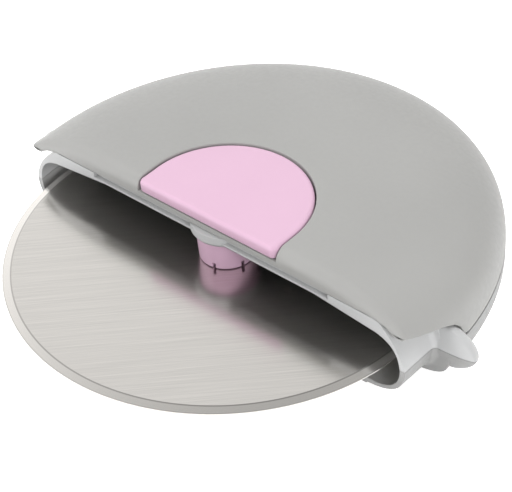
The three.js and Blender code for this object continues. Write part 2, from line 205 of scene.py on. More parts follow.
def grid_faces(rows: int, columns: int, start: int = 0, closed: bool = False) -> list:
    """Quads of a grid stored row by row.

    Args:
        rows: how many rows of points.
        columns: how many points in a row.
        start: the first point's index.
        closed: whether the last column joins the first.
    Returns:
        The quads.
    """
    wrap = columns if closed else columns - 1
    quads = []
    for i in range(rows - 1):
        for j in range(wrap):
            k = (j + 1) % columns
            a, b = start + i * columns, start + (i + 1) * columns
            quads.append((a + j, a + k, b + k, b + j))
    return quads


def lathe(name: str, profile: list, segments: int = 128) -> bpy.types.Object:
    """A closed body turned about the Z axis.

    Args:
        name: the object's name.
        profile: closed or axis-to-axis list of (radius, height).
        segments: steps round the axis.
    Returns:
        The linked object.
    """
    angle = np.linspace(0, 2 * math.pi, segments, endpoint=False)
    rings = [
        np.stack([r * np.cos(angle), r * np.sin(angle), np.full(segments, z)], 1)
        for r, z in profile
    ]
    quads = grid_faces(len(rings), segments, closed=True)
    return mesh_object(name, np.concatenate(rings), quads)


def loft(name: str, rings: list) -> bpy.types.Object:
    """A closed body between rings of points, with a face at each end.

    Args:
        name: the object's name.
        rings: arrays of points, equally long.
    Returns:
        The linked object.
    """
    count = len(rings[0])
    last = (len(rings) - 1) * count
    faces = grid_faces(len(rings), count, closed=True)
    faces += [tuple(range(count)), tuple(range(last, last + count))]
    return mesh_object(name, np.concatenate(rings), faces)


def block(low: tuple, high: tuple) -> bpy.types.Object:
    """A block between two corners, used only as a cutter.

    Args:
        low: lowest corner.
        high: highest corner.
    Returns:
        The linked object.
    """
    plan = [(low[0], low[1]), (high[0], low[1]), (high[0], high[1]), (low[0], high[1])]
    return loft("block", [np.array([(x, y, z) for x, y in plan]) for z in (low[2], high[2])])


def bar(radius: float, low: float, high: float) -> list:
    """Profile of a straight round tool.

    Args:
        radius: its radius.
        low: its lower end.
        high: its upper end.
    Returns:
        The (radius, height) list.
    """
    return [(0, low), (radius, low), (radius, high), (0, high)]


def freeze(obj: bpy.types.Object) -> bpy.types.Object:
    """Bakes an object's modifiers into its mesh.

    Args:
        obj: the object.
    Returns:
        The same object without modifiers.
    """
    bpy.context.view_layer.update()
    graph = bpy.context.evaluated_depsgraph_get()
    made = bpy.data.meshes.new_from_object(obj.evaluated_get(graph))
    obj.modifiers.clear()
    old = obj.data
    obj.data = made
    made.name = obj.name
    if old.users == 0:
        bpy.data.meshes.remove(old)
    return obj


def combine(body: bpy.types.Object, tool: bpy.types.Object, how: Boolean) -> bpy.types.Object:
    """Combines a body with a tool and removes the tool.

    Args:
        body: the body kept.
        tool: the body used up.
        how: cut or join.
    Returns:
        The body.
    """
    change = body.modifiers.new("combine", "BOOLEAN")
    change.solver = "EXACT"
    change.operation = how.value
    change.object = tool
    freeze(body)
    bpy.data.objects.remove(tool)
    return body


def drill(
    body: bpy.types.Object,
    spots: tuple,
    profile: list,
    how: Boolean = Boolean.CUT,
    segments: int = 48,
) -> None:
    """Cuts or joins the same turned tool at several places.

    Args:
        body: the body kept.
        spots: (x, y) places in millimetres.
        profile: the tool's (radius, height) list.
        how: cut or join.
        segments: steps round the tool.
    """
    for x, y in spots:
        tool = lathe("drill", profile, segments)
        tool.data.transform(Matrix.Translation((x * MM, y * MM, 0)))
        combine(body, tool, how)


def smooth(obj: bpy.types.Object, degrees: float = 32) -> bpy.types.Object:
    """Shades an object smooth with sharp edges where faces turn more than an angle.

    Args:
        obj: the object.
        degrees: the angle.
    Returns:
        The object.
    """
    mesh = obj.data
    mesh.polygons.foreach_set("use_smooth", [True] * len(mesh.polygons))
    mesh.set_sharp_from_angle(angle=math.radians(degrees))
    return obj


def d_outline(radius: float, front: float, count: int) -> np.ndarray:
    """The D outline from the left mouth corner round the back to the right one.

    Args:
        radius: half its width.
        front: where its straight sides end.
        count: how many points.
    Returns:
        Points (x, y), evenly spaced.
    """
    side, arc = -front, math.pi * radius
    total = 2 * side + arc
    points = []
    for s in np.linspace(0, total, count):
        if s < side:
            points.append((-radius, front + s))
        elif s > side + arc:
            points.append((radius, total - s + front))
        else:
            turn = math.pi - (s - side) / radius
            points.append((radius * math.cos(turn), radius * math.sin(turn)))
    return np.array(points)


# ---------------------------------------------------------------- node helpers


class Nodes:
    """A writer of node trees."""

    def __init__(self, tree: bpy.types.NodeTree) -> None:
        """Takes the tree to write in.

        Args:
            tree: the tree.
        """
        self.tree = tree

    def feed(self, target: bpy.types.NodeSocket, source: Source) -> None:
        """Links or sets one input.

        Args:
            target: the input.
            source: a socket or a constant.
        """
        if isinstance(source, bpy.types.NodeSocket):
            self.tree.links.new(source, target)
        else:
            target.default_value = source

    def node(self, kind: str, links: dict, **settings: object) -> bpy.types.Node:
        """Adds a node.

        Args:
            kind: its type.
            links: input index or name to a socket or a constant.
            settings: its properties.
        Returns:
            The node.
        """
        made = self.tree.nodes.new(kind)
        for key, setting in settings.items():
            setattr(made, key, setting)
        for key, source in links.items():
            self.feed(made.inputs[key], source)
        return made

    def math(self, operation: str, a: Source, b: Source = 0.0) -> bpy.types.NodeSocket:
        """Adds one sum.

        Args:
            operation: the math node's operation.
            a: first term.
            b: second term.
        Returns:
            The result's socket.
        """
        return self.node("ShaderNodeMath", {0: a, 1: b}, operation=operation).outputs[0]


class GeometryRule(Nodes):
    """A geometry node tree written in the script, with named number inputs."""

    def __init__(self, name: str, inputs: dict) -> None:
        """Starts the tree.

        Args:
            name: the tree's name.
            inputs: input names and values, in metres or counts.
        """
        super().__init__(bpy.data.node_groups.new(name, "GeometryNodeTree"))
        face = self.tree.interface
        face.new_socket("Geometry", in_out="INPUT", socket_type="NodeSocketGeometry")
        self.ids = {}
        for label, value in inputs.items():
            kind = "NodeSocketInt" if isinstance(value, int) else "NodeSocketFloat"
            self.ids[label] = (face.new_socket(label, in_out="INPUT", socket_type=kind), value)
        self.skin = face.new_socket("Material", in_out="INPUT", socket_type="NodeSocketMaterial")
        face.new_socket("Geometry", in_out="OUTPUT", socket_type="NodeSocketGeometry")
        self.start = self.tree.nodes.new("NodeGroupInput")
        self.end = self.tree.nodes.new("NodeGroupOutput")

    def value(self, label: str) -> bpy.types.NodeSocket:
        """The socket that carries one named input.

        Args:
            label: the input's name.
        Returns:
            The socket.
        """
        return self.start.outputs[label]

    def turned(self, profile: list, segments: Source) -> bpy.types.NodeSocket:
        """A body turned about Z from sockets or constants.

        Args:
            profile: closed list of (radius, height).
            segments: steps round the axis.
        Returns:
            The welded geometry's socket.
        """
        join = self.node("GeometryNodeJoinGeometry", {})
        around = self.math("ADD", segments, 1)
        for (r0, z0), (r1, z1) in zip(profile, profile[1:] + profile[:1]):
            grid = self.node("GeometryNodeMeshGrid", {0: 1.0, 1: 1.0, 2: 2, 3: around})
            place = self.node("GeometryNodeInputPosition", {})
            split = self.node("ShaderNodeSeparateXYZ", {0: place.outputs[0]})
            share = self.math("ADD", split.outputs[0], 0.5)
            turn = self.math("MULTIPLY", self.math("ADD", split.outputs[1], 0.5), 2 * math.pi)
            radius = self.node("ShaderNodeMapRange", {0: share, 3: r0, 4: r1}).outputs[0]
            height = self.node("ShaderNodeMapRange", {0: share, 3: z0, 4: z1}).outputs[0]
            spot = self.node(
                "ShaderNodeCombineXYZ",
                {
                    0: self.math("MULTIPLY", radius, self.math("COSINE", turn)),
                    1: self.math("MULTIPLY", radius, self.math("SINE", turn)),
                    2: height,
                },
            )
            moved = self.node(
                "GeometryNodeSetPosition", {0: grid.outputs[0], "Position": spot.outputs[0]}
            )
            self.tree.links.new(moved.outputs[0], join.inputs[0])
        weld = self.node("GeometryNodeMergeByDistance", {0: join.outputs[0], "Distance": 2e-6})
        return weld.outputs[0]

    def close(self, geometry: bpy.types.NodeSocket) -> None:
        """Ends the tree with Realize Instances and Set Material.

        Args:
            geometry: what the tree has made.
        """
        real = self.node("GeometryNodeRealizeInstances", {0: geometry})
        painted = self.node(
            "GeometryNodeSetMaterial", {0: real.outputs[0], "Material": self.value("Material")}
        )
        self.tree.links.new(painted.outputs[0], self.end.inputs[0])

    def apply(self, obj: bpy.types.Object, material: bpy.types.Material) -> bpy.types.Object:
        """Runs the tree on an object and keeps the result as its mesh.

        Args:
            obj: the object.
            material: what Set Material gives it.
        Returns:
            The object, without modifiers.
        """
        change = obj.modifiers.new(self.tree.name, "NODES")
        change.node_group = self.tree
        for socket, value in self.ids.values():
            change[socket.identifier] = value
        change[self.skin.identifier] = material
        return freeze(obj)


def empty_object(name: str) -> bpy.types.Object:
    """An object with no points, for a geometry rule to fill.

    Args:
        name: its name.
    Returns:
        The linked object.
    """
    return link(name, bpy.data.meshes.new(name))


class Shader(Nodes):
    """A material with a Principled shader, on the object's own coordinates."""

    def __init__(self, name: str) -> None:
        """Starts the material.

        Args:
            name: the material's name.
        """
        self.material = bpy.data.materials.new(name)
        self.material.use_nodes = True
        super().__init__(self.material.node_tree)
        self.main = self.tree.nodes["Principled BSDF"]
        self.place = self.node("ShaderNodeTexCoord", {}).outputs["Object"]

    def noise(
        self, scale: float, detail: float, where: Source | None = None
    ) -> bpy.types.NodeSocket:
        """Noise on the object's own coordinates.

        Args:
            scale: features per metre.
            detail: octaves.
            where: other coordinates, if any.
        Returns:
            The value from 0 to 1.
        """
        links = {"Vector": where or self.place, "Scale": scale, "Detail": detail}
        return self.node("ShaderNodeTexNoise", links).outputs[0]

    def spread(
        self, value: Source, low: float, high: float, start: float = 0.3, end: float = 0.7
    ) -> bpy.types.NodeSocket:
        """Maps a value from one range to another.

        Args:
            value: the socket.
            low: result at the start.
            high: result at the end.
            start: where the range starts.
            end: where it ends.
        Returns:
            The mapped socket.
        """
        links = {0: value, 1: start, 2: end, 3: low, 4: high}
        return self.node("ShaderNodeMapRange", links).outputs[0]

    def mix(self, share: Source, first: Source, second: tuple) -> bpy.types.NodeSocket:
        """Mixes two colours.

        Args:
            share: how much of the second.
            first: a colour, or a colour's socket.
            second: a colour.
        Returns:
            The colour's socket.
        """
        first = (*first, 1) if isinstance(first, tuple) else first
        links = {0: share, 6: first, 7: (*second, 1)}
        return self.node("ShaderNodeMix", links, data_type="RGBA").outputs[2]

    def around(self) -> tuple:
        """Where a point is, and how far from the Z axis.

        Returns:
            Sockets of x, y, z and the distance.
        """
        x, y, z = self.node("ShaderNodeSeparateXYZ", {0: self.place}).outputs
        flat = self.node("ShaderNodeCombineXYZ", {0: x, 1: y}).outputs[0]
        out = self.node("ShaderNodeVectorMath", {0: flat}, operation="LENGTH").outputs[1]
        return x, y, z, out

    def set(self, label: str, source: Source) -> None:
        """Sets one input of the Principled shader.

        Args:
            label: the input.
            source: socket or constant.
        """
        self.feed(self.main.inputs[label], source)


def shade(colour: tuple, factor: float, add: float = 0.0) -> tuple:
    """A colour made lighter or darker.

    Args:
        colour: the colour.
        factor: what it is multiplied by.
        add: what is added.
    Returns:
        The colour, at most 1.
    """
    return tuple(min(c * factor + add, 1) for c in colour)


@dataclass(frozen=True)
class PlasticFinish:
    """Moulded plastic: fine spark-eroded texture, slight sheen and colour variation."""

    name: str
    slot: str
    colour: tuple
    roughness: float = 0.5
    grain: float = 0.12
    grain_scale: float = 2600
    wear: float = 0.06
    soft_edges: float = 0.0
    specular: float = 0.4
    # painted shade: the darker grey below the parting plane, and how dark the wheel space is painted
    low_shade_colour: tuple = ()
    cavity_shade: float = 0.0

    def material(self) -> bpy.types.Material:
        """Writes the material.

        Returns:
            The material.
        """
        s = Shader(self.name)
        broad = s.noise(38, 3)
        mottle = s.noise(900, 4)
        base = s.mix(s.spread(broad, 0, 1), shade(self.colour, 0.955), self.colour)
        # painted shade below the parting plane and in the wheel space, where set
        if self.low_shade_colour:
            base = self.paint_shade(s, base)
        edge = s.node("ShaderNodeNewGeometry", {}).outputs["Pointiness"]
        worn = s.spread(edge, 0, self.wear, 0.52, 0.6)
        s.set("Base Color", s.mix(worn, base, shade(self.colour, 1.25, 0.02)))
        s.set("Roughness", s.spread(mottle, self.roughness - 0.07, self.roughness + 0.08))
        s.set("Specular IOR Level", self.specular)
        fine = s.noise(self.grain_scale, 2)
        bump = s.node("ShaderNodeBump", {"Strength": self.grain, "Distance": 6e-5, "Height": fine})
        waves = s.node(
            "ShaderNodeBump",
            {"Strength": 0.05, "Distance": 6e-4, "Height": broad, "Normal": bump.outputs[0]},
        )
        if self.soft_edges:
            soft = s.node("ShaderNodeBevel", {"Radius": self.soft_edges * MM}, samples=6)
            s.tree.links.new(soft.outputs[0], bump.inputs["Normal"])
        s.set("Normal", waves.outputs[0])
        return s.material

    def paint_shade(self, s: Shader, base: bpy.types.NodeSocket) -> bpy.types.NodeSocket:
        """Paints shade as a darker colour below the parting plane, and paints a dark shade deep in the
        wheel space, away from the mouth and the side walls.

        Args:
            s: the shader being written.
            base: its colour so far.
        Returns:
            The new colour.
        """
        parted, radius, roof, step = 0.009, 0.0533, 0.01795, 1e-5
        x, y, z, out = s.around()
        # painted shade: a darker grey below the parting plane
        low_shaded = s.mix(s.spread(z, 1, 0, parted - step, parted + step), base, self.low_shade_colour)
        # painted shade in the wheel space: inside the cavity, under its roof, back from the mouth and
        # between the side walls
        inside = s.spread(out, self.cavity_shade, 0, radius, radius + step)
        under = s.spread(z, 1, 0, roof, roof + step)
        behind = s.spread(y, 0, 1, -0.002, 0.012)
        middle = s.spread(s.math("ABSOLUTE", x), 1, 0, 0.044, 0.05)
        for mask in (under, behind, middle):
            inside = s.math("MULTIPLY", inside, mask)
        # mixes in the near-black painted shade
        return s.mix(inside, low_shaded, (0.03, 0.03, 0.028))


@dataclass(frozen=True)
class SteelFinish:
    """Steel brushed in straight lines across the piece."""

    name: str
    slot: str
    colour: tuple
    roughness: float = 0.3
    direction: float = 45
    grain: float = 0.1
    length: float = 55
    fineness: float = 4200
    # band: inner radius of the ground band with painted sheen and a painted shade line; edge: the rim,
    # darkened just inside as painted shade
    band: float = 0.0
    edge: float = 50.0

    def material(self) -> bpy.types.Material:
        """Writes the material.

        Returns:
            The material.
        """
        s = Shader(self.name)
        turn = (0, 0, -math.radians(self.direction))
        along = s.node("ShaderNodeMapping", {"Vector": s.place, "Rotation": turn}).outputs[0]
        fine = (self.length, self.fineness, self.fineness)
        wide = (self.length / 3, self.fineness / 8, 1)
        stroke, band = (
            s.noise(1, detail, s.node("ShaderNodeMapping", {"Vector": along, "Scale": size}).outputs[0])
            for size, detail in ((fine, 4), (wide, 3))
        )
        base = s.mix(s.spread(stroke, 0, 1), shade(self.colour, 0.93), shade(self.colour, 1.05))
        s.set("Base Color", self.ground(s, base) if self.band else base)
        s.set("Metallic", 1.0)
        s.set("Roughness", s.spread(band, self.roughness - 0.015, self.roughness + 0.02))
        links = {"Strength": self.grain, "Distance": 3e-5, "Height": stroke}
        bump = s.node("ShaderNodeBump", links)
        s.set("Normal", bump.outputs[0])
        return s.material

    def ground(self, s: Shader, base: bpy.types.NodeSocket) -> bpy.types.NodeSocket:
        """Brightens the ground band, partly for its lighter ground finish and partly as painted sheen,
        and paints dark shade lines at its inner crease and along the rim.

        Args:
            s: the shader being written.
            base: its colour so far.
        Returns:
            The new colour.
        """
        out = s.around()[3]
        # grey is a darkened copy of the steel for the painted shade lines
        inner, rim, grey = self.band * MM, self.edge * MM, shade(self.colour, 0.55)
        # lighter ground band: its finish plus painted sheen
        bright = s.mix(s.spread(out, 0, 1, inner, inner + 1e-4), base, shade(self.colour, 1.12))
        # painted shade line at the band's inner crease
        gap = s.math("ABSOLUTE", s.math("SUBTRACT", out, inner))
        crease_shaded = s.mix(s.spread(gap, 0.75, 0, 1e-4, 2.2e-4), bright, grey)
        # painted shade along the rim
        return s.mix(s.spread(out, 0, 0.6, rim - 3e-4, rim), crease_shaded, grey)


def seal(obj: bpy.types.Object) -> bpy.types.Object:
    """Welds the slivers that cutting leaves and closes what stays open.

    Args:
        obj: the object.
    Returns:
        The object.
    """
    bm = bmesh.new()
    bm.from_mesh(obj.data)
    for reach in (4e-6, 1.2e-5, 3e-5, 8e-5):
        loose = [e for e in bm.edges if not e.is_manifold]
        if not loose:
            break
        near = list({v for e in loose for v in e.verts})
        bmesh.ops.remove_doubles(bm, verts=near, dist=reach)
        bmesh.ops.dissolve_degenerate(bm, edges=bm.edges, dist=1e-7)
        bmesh.ops.holes_fill(bm, edges=[e for e in bm.edges if e.is_boundary], sides=0)
    bmesh.ops.recalc_face_normals(bm, faces=bm.faces)
    bm.to_mesh(obj.data)
    bm.free()
    return obj


Finish = Union[PlasticFinish, SteelFinish]


def keep(obj: bpy.types.Object, body: str, node: str, finish: Finish) -> bpy.types.Object:
    """Gives a finished piece its material and ties it to the frame.

    Args:
        obj: the piece.
        body: the body it moves with.
        node: the CAD node it stands for.
        finish: its finish.
    Returns:
        The piece.
    """
    obj.data.materials.clear()
    obj.data.materials.append(MATERIALS[finish.name])
    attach(obj, body)
    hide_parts(node)
    log.info("%s: %d faces", obj.name, len(obj.data.polygons))
    return obj


COVER = PlasticFinish("cover grey", "cover_plastic", (0.285, 0.284, 0.276), 0.5)
SHELL = PlasticFinish(
    "shell grey",
    "shell_plastic",
    (0.4, 0.403, 0.405),
    0.45,
    soft_edges=0.35,
    # painted shade below the parting plane and in the wheel space
    low_shade_colour=(0.25, 0.25, 0.247),
    cavity_shade=0.8,
)
PINK = PlasticFinish("pink", "accent_plastic", (0.54, 0.355, 0.465), 0.42, grain=0.08)
# the ground band from 48.1 mm carries painted sheen and painted shade lines
WHEEL = SteelFinish("wheel steel", "wheel_steel", (0.72, 0.7, 0.67), 0.2, grain=0.03, band=48.1)
PIN = SteelFinish("pin steel", "pin_steel", (0.6, 0.59, 0.57), 0.28, direction=0)
SCREW = SteelFinish("screw steel", "screw_steel", (0.48, 0.48, 0.47), 0.35, direction=0, grain=0.05)
MATERIALS = {}


# ---------------------------------------------------------------- shared forms


@dataclass
class Dome:
    """Half of the shells' outer form, shrunk by an inset."""

    sizes: Sizes
    inset: float = 0.0
    up: bool = True

    def level(self, phi: np.ndarray) -> np.ndarray:
        """Radius before squeezing at an angle of the section curve.

        Args:
            phi: angle, 90 degrees at the crown and 0 at the rim.
        Returns:
            The radius.
        """
        s = self.sizes
        power = s.top_power if self.up else s.low_power
        inward = 1 - np.maximum(np.cos(phi), 0) ** (2 / power)
        return s.half_length - self.inset - (s.crown - self.inset) * inward

    def height(self, phi: np.ndarray) -> np.ndarray:
        """Height above the origin plane at an angle of the section curve.

        Args:
            phi: the angle.
        Returns:
            The height.
        """
        s = self.sizes
        power = s.top_power if self.up else s.low_power
        depth = (s.rim_up if self.up else s.rim_down) - self.inset
        rise = depth * np.maximum(np.sin(phi), 0) ** (2 / power)
        return s.mid + rise if self.up else s.mid - rise

    @property
    def squeeze(self) -> float:
        """How much narrower the dome is than it is long.

        Returns:
            The factor.
        """
        s = self.sizes
        return (s.half_width - self.inset) / (s.half_length - self.inset)

    def solid(self, name: str, segments: int = 176, steps: int = 26) -> bpy.types.Object:
        """The whole half form as a closed body.

        Args:
            name: its name.
            segments: steps round it.
            steps: steps down its section.
        Returns:
            The linked object.
        """
        phi = np.linspace(0, math.pi / 2, steps)
        profile = [(0, self.sizes.mid)]
        profile += list(zip(self.level(phi), self.height(phi)))
        profile.append((0, float(self.height(np.array([math.pi / 2]))[0])))
        obj = lathe(name, profile, segments)
        points = np.zeros(len(obj.data.vertices) * 3)
        obj.data.vertices.foreach_get("co", points)
        points = points.reshape(-1, 3)
        points[:, 0] *= self.squeeze
        points[:, 1] += self.sizes.shift * MM
        obj.data.vertices.foreach_set("co", points.ravel())
        return obj


@dataclass
class Lug:
    """A finger lug with a sharp crease on the parting plane."""

    sizes: Sizes
    side: int
    crease: float = 1.4

    def top(self, x: np.ndarray, y: np.ndarray, margin: float) -> np.ndarray:
        """Height of the lug's upper skin, or far below where there is none.

        Args:
            x: across.
            y: along.
            margin: how much it is grown.
        Returns:
            The heights.
        """
        s = self.sizes
        reach = s.lug_tip - s.lug_root + margin
        back = np.where(y > s.lug_y, s.lug_back, s.lug_front) + margin
        u = (np.abs(x) - s.lug_root) / reach
        v = (y - s.lug_y) / back
        inside = 1 - u**2 - v**2
        rise = np.maximum(inside, 0) ** (self.crease / 2) * (s.lug_rise + margin)
        return np.where((inside > 0) & (np.sign(x) == self.side), s.mid + rise, -100)

    def solid(self) -> bpy.types.Object:
        """The lug as a closed body.

        Returns:
            The linked object.
        """
        s = self.sizes
        rings, segments = 40, 72
        turn = np.linspace(0, 2 * math.pi, segments, endpoint=False)
        reach = s.lug_tip - s.lug_root
        points = []
        for a in np.linspace(-math.pi / 2, math.pi / 2, rings + 1):
            x, y = np.cos(a) * np.cos(turn), np.cos(a) * np.sin(turn)
            z = np.full(segments, math.sin(a))
            back = np.where(y > 0, s.lug_back, s.lug_front)
            lens = np.sign(z) * np.abs(z) ** self.crease
            place = [self.side * (s.lug_root + x * reach), s.lug_y + y * back]
            points.append(np.stack([*place, s.mid + lens * s.lug_rise], 1))
        faces = grid_faces(rings + 1, segments, closed=True)
        return mesh_object("lug", np.concatenate(points), faces)


def quadratic(a: tuple, b: tuple, c: tuple, count: int = 18) -> list:
    """Points of a quadratic curve after its start.

    Args:
        a: start.
        b: control point.
        c: end.
        count: how many points.
    Returns:
        The points.
    """
    t = np.linspace(0, 1, count + 1)[1:, None]
    a, b, c = (np.array(p, float) for p in (a, b, c))
    return [tuple(p) for p in (1 - t) ** 2 * a + 2 * t * (1 - t) * b + t**2 * c]


# ---------------------------------------------------------------- sub-assemblies


@dataclass
class PalmCover:
    """The domed cover with its rounded front edge and D-shaped recess."""

    sizes: Sizes
    front_round: float = 3.05
    nose_round: float = 0.8
    edge_round: float = 0.3
    rim_round: float = 0.45
    nose_rim: float = 1.3
    nose_fall: float = 0.35
    flange: float = 4.4
    tray: float = 3.1
    tray_hole: float = 1.3
    hole_reach: tuple = (10, 30)
    nose_rise: float = 8.4
    lug_edge: float = 6.0
    front_steps: int = 9
    columns: int = 150
    dome_rows: int = 44
    flat_rows: int = 6

    def edge(self, x: np.ndarray, y: np.ndarray) -> np.ndarray:
        """Height of the cover's lower edge over a plan point.

        Args:
            x: across.
            y: along.
        Returns:
            The heights.
        """
        s = self.sizes
        front, back = s.lug_y - s.lug_front / 2, s.lug_y + s.lug_back + 0.5
        spots = [(s.mouth - 5, self.nose_rise + 0.4), (s.mouth + 1, self.nose_rise)]
        spots.append((front, self.lug_edge))
        spots += quadratic(
            spots[-1], (s.lug_y + s.lug_back * 0.6, self.lug_edge * 0.5), (back, s.gap), 24
        )
        spots.append((s.half_length * 2, s.gap))
        rise = s.mid + np.interp(y, [p[0] for p in spots], [p[1] for p in spots])
        for side in (-1, 1):
            rise = np.maximum(rise, Lug(s, side).top(x, y, s.fit))
        return rise

    def radius(self, phi: np.ndarray) -> np.ndarray:
        """Radius of the front rounding where the dome is at a section angle.

        Args:
            phi: the section angle.
        Returns:
            The radius.
        """
        return self.radius_at(Dome(self.sizes).height(phi))

    def radius_at(self, height: np.ndarray) -> np.ndarray:
        """Radius of the front rounding at a height, full in the middle and small at the noses.

        Args:
            height: one height or an array of them.
        Returns:
            The radius, or radii.
        """
        s = self.sizes
        share = np.clip((height - s.mid - s.rim_up / 2) / (s.rim_up / 2), 0, 1)
        eased = share * share * (3 - 2 * share)
        return self.nose_round + (self.front_round - self.nose_round) * eased

    def spot(self, dome: Dome, phi: np.ndarray, share: float, start: np.ndarray) -> np.ndarray:
        """Points on a dome along one column.

        Args:
            dome: the dome.
            phi: section angles down the column.
            share: 0 at the left mouth side and 1 at the right.
            start: distance of the first main column from the mouth.
        Returns:
            An array of points.
        """
        s = self.sizes
        level = dome.level(phi)
        begin = np.arcsin(np.clip((s.mouth + start - s.shift) / level, -1, 1))
        turn = math.pi - (begin + (math.pi - 2 * begin) * share)
        x = level * np.cos(turn) * dome.squeeze
        y = s.shift + level * np.sin(turn)
        return np.stack([x, y, dome.height(phi)], 1)

    def rim_radius(self, y: float) -> float:
        """Radius of the lower edge, larger beside the mouth than behind the lugs.

        Args:
            y: along.
        Returns:
            The radius.
        """
        s = self.sizes
        share = min(max((s.lug_y + s.lug_back - y) / s.lug_back, 0.0), 1.0)
        return self.rim_round + (self.nose_rim - self.rim_round) * share

    def lowest(
        self, dome: Dome, share: float, offset: float | None = None, lift: float = 0.0
    ) -> float:
        """Section angle at which a column meets the lower edge.

        Args:
            dome: the dome.
            share: the column's place round it.
            offset: distance from the mouth for the columns of the rounding.
            lift: how far above the edge to stop.
        Returns:
            The angle.
        """
        phi = np.linspace(math.pi / 2, 0, 1500)
        start = self.radius(phi) if offset is None else np.full(len(phi), offset)
        points = self.spot(dome, phi, share, start)
        over = points[:, 2] - self.edge(points[:, 0], points[:, 1]) - lift
        below = np.nonzero(over < 0)[0]
        if len(below) == 0:
            return 0.0
        i = max(int(below[0]), 1)
        part = over[i - 1] / (over[i - 1] - over[i])
        return float(phi[i - 1] + (phi[i] - phi[i - 1]) * part)

    def outer(self) -> np.ndarray:
        """The outer skin.

        Returns:
            An array rows by columns by 3.
        """
        s, dome = self.sizes, Dome(self.sizes)
        arcs = np.linspace(math.pi / 2, 0, self.front_steps + 1)
        shares = np.linspace(0, 1, self.columns)
        ease = np.linspace(0, 1, self.dome_rows + 1)
        columns = []
        d_main = d_outline(s.button_r + s.fit, s.mouth + self.front_round, self.columns)
        for share, (dx, dy) in zip(shares, d_main):
            columns.append(self.column(dome, share, None, ease, (dx, dy)))
        left, right = [], []
        for arc in arcs[:-1]:
            for side, store in ((0.0, left), (1.0, right)):
                dx = (s.button_r + s.fit) * (-1 if side == 0 else 1)
                dy = s.mouth + self.front_round * (1 - math.sin(arc))
                store.append(self.column(dome, side, arc, ease, (dx, dy)))
        return np.stack(left + columns + right[::-1], 1)

    def column(
        self, dome: Dome, share: float, arc: float | None, ease: np.ndarray, start: tuple
    ) -> np.ndarray:
        """One column of the outer skin from the recess to the rim.

        Args:
            dome: the outer dome.
            share: its place round the dome.
            arc: angle of the front rounding, or None behind it.
            ease: how the rows are spread.
            start: the point of the recess it starts from.
        Returns:
            The column's points.
        """
        s = self.sizes
        offset = 0.0 if arc is not None else None
        end = self.lowest(dome, share, offset)
        foot = self.spot(dome, np.array([end]), share, self.radius(np.array([end])))
        bend = self.rim_radius(foot[0, 1])
        last = self.lowest(dome, share, offset, bend)
        phi = math.pi / 2 + (last - math.pi / 2) * ease
        phi = np.append(phi, end)
        radius = self.radius(phi)
        distance = radius if arc is None else radius * (1 - math.sin(arc))
        points = self.spot(dome, phi, share, distance)
        rim = points[-1].copy()
        points = points[:-1]
        inward = -np.array([rim[0], (rim[1] - s.shift) if arc is None else 0.0, 0])
        inward /= np.linalg.norm(inward)
        for turn in np.radians([30, 60, 90]):
            low = rim + inward * bend * (1 - math.cos(turn))
            low[2] = rim[2] + bend * (1 - math.sin(turn))
            points = np.vstack([points, low])
        flat = []
        recess = np.array([*start, s.top])
        away = np.array([start[0], max(start[1], 0)])
        away = away / np.linalg.norm(away)
        for turn in np.radians([0, 30, 60, 90]):
            shift = away * self.edge_round * (1 - math.cos(turn))
            down = self.edge_round * (1 - math.sin(turn))
            flat.append([recess[0] + shift[0], recess[1] + shift[1], s.top - down])
        edge_point = np.array(flat[-1])
        for share_in in np.linspace(0, 1, self.flat_rows + 1)[1:-1]:
            flat.append(edge_point + (points[0] - edge_point) * share_in)
        points = np.vstack([flat, points])
        if arc is None:
            return points
        points[:4, 1] = start[1]
        return self.drop(points, arc)

    def drop(self, points: np.ndarray, arc: float) -> np.ndarray:
        """Lowers a column of the front rounding along the front edge's normal.

        Args:
            points: the column.
            arc: angle of the rounding.
        Returns:
            The lowered column.
        """
        s = self.sizes
        made = points.copy()
        along = np.gradient(points[:, [0, 2]], axis=0)
        side = np.sign(points[-1, 0])
        for i, (dx, dz) in enumerate(along):
            normal = np.array([-dz, dx]) * side
            length = np.linalg.norm(normal)
            flat = i < 5 or length < 1e-6
            normal = np.array([0.0, 1.0]) if flat else normal / length
            fall = self.radius_at(points[i, 2]) * (1 - math.cos(arc))
            if i < 3:
                fall = min(fall, points[i, 2] - s.top + self.tray - 0.02)
            if i >= len(points) - 3:
                normal = np.array([side, 0.0])
                fall = min(fall, self.nose_fall)
            made[i, 0] -= normal[0] * fall
            made[i, 2] -= normal[1] * fall
        return made

    def inner_column(
        self, dome: Dome, share: float, offset: float, recess: tuple, cap: bool
    ) -> np.ndarray:
        """One column of the inner skin.

        Args:
            dome: the inner dome.
            share: its place round the dome.
            offset: its distance from the mouth.
            recess: where it starts, beside the recess.
            cap: whether it stays under the flange.
        Returns:
            The column's points.
        """
        s = self.sizes
        lead, rest = self.flat_rows + 4, self.dome_rows + 4
        phi = np.linspace(math.pi / 2, 0, 1500)
        points = self.spot(dome, phi, share, np.full(len(phi), offset))
        below = np.nonzero(points[:, 2] < self.edge(points[:, 0], points[:, 1]))[0]
        phi = np.linspace(math.pi / 2, phi[below[0]] if len(below) else 0.0, rest)
        points = self.spot(dome, phi, share, np.full(len(phi), offset))
        first = np.array([*recess, s.top - s.wall])
        flat = [first + (points[0] - first) * k for k in np.linspace(0, 1, lead)[:-1]]
        points = np.vstack([flat, points])
        if cap:
            points[:, 2] = np.minimum(points[:, 2], s.top - self.flange)
        return points

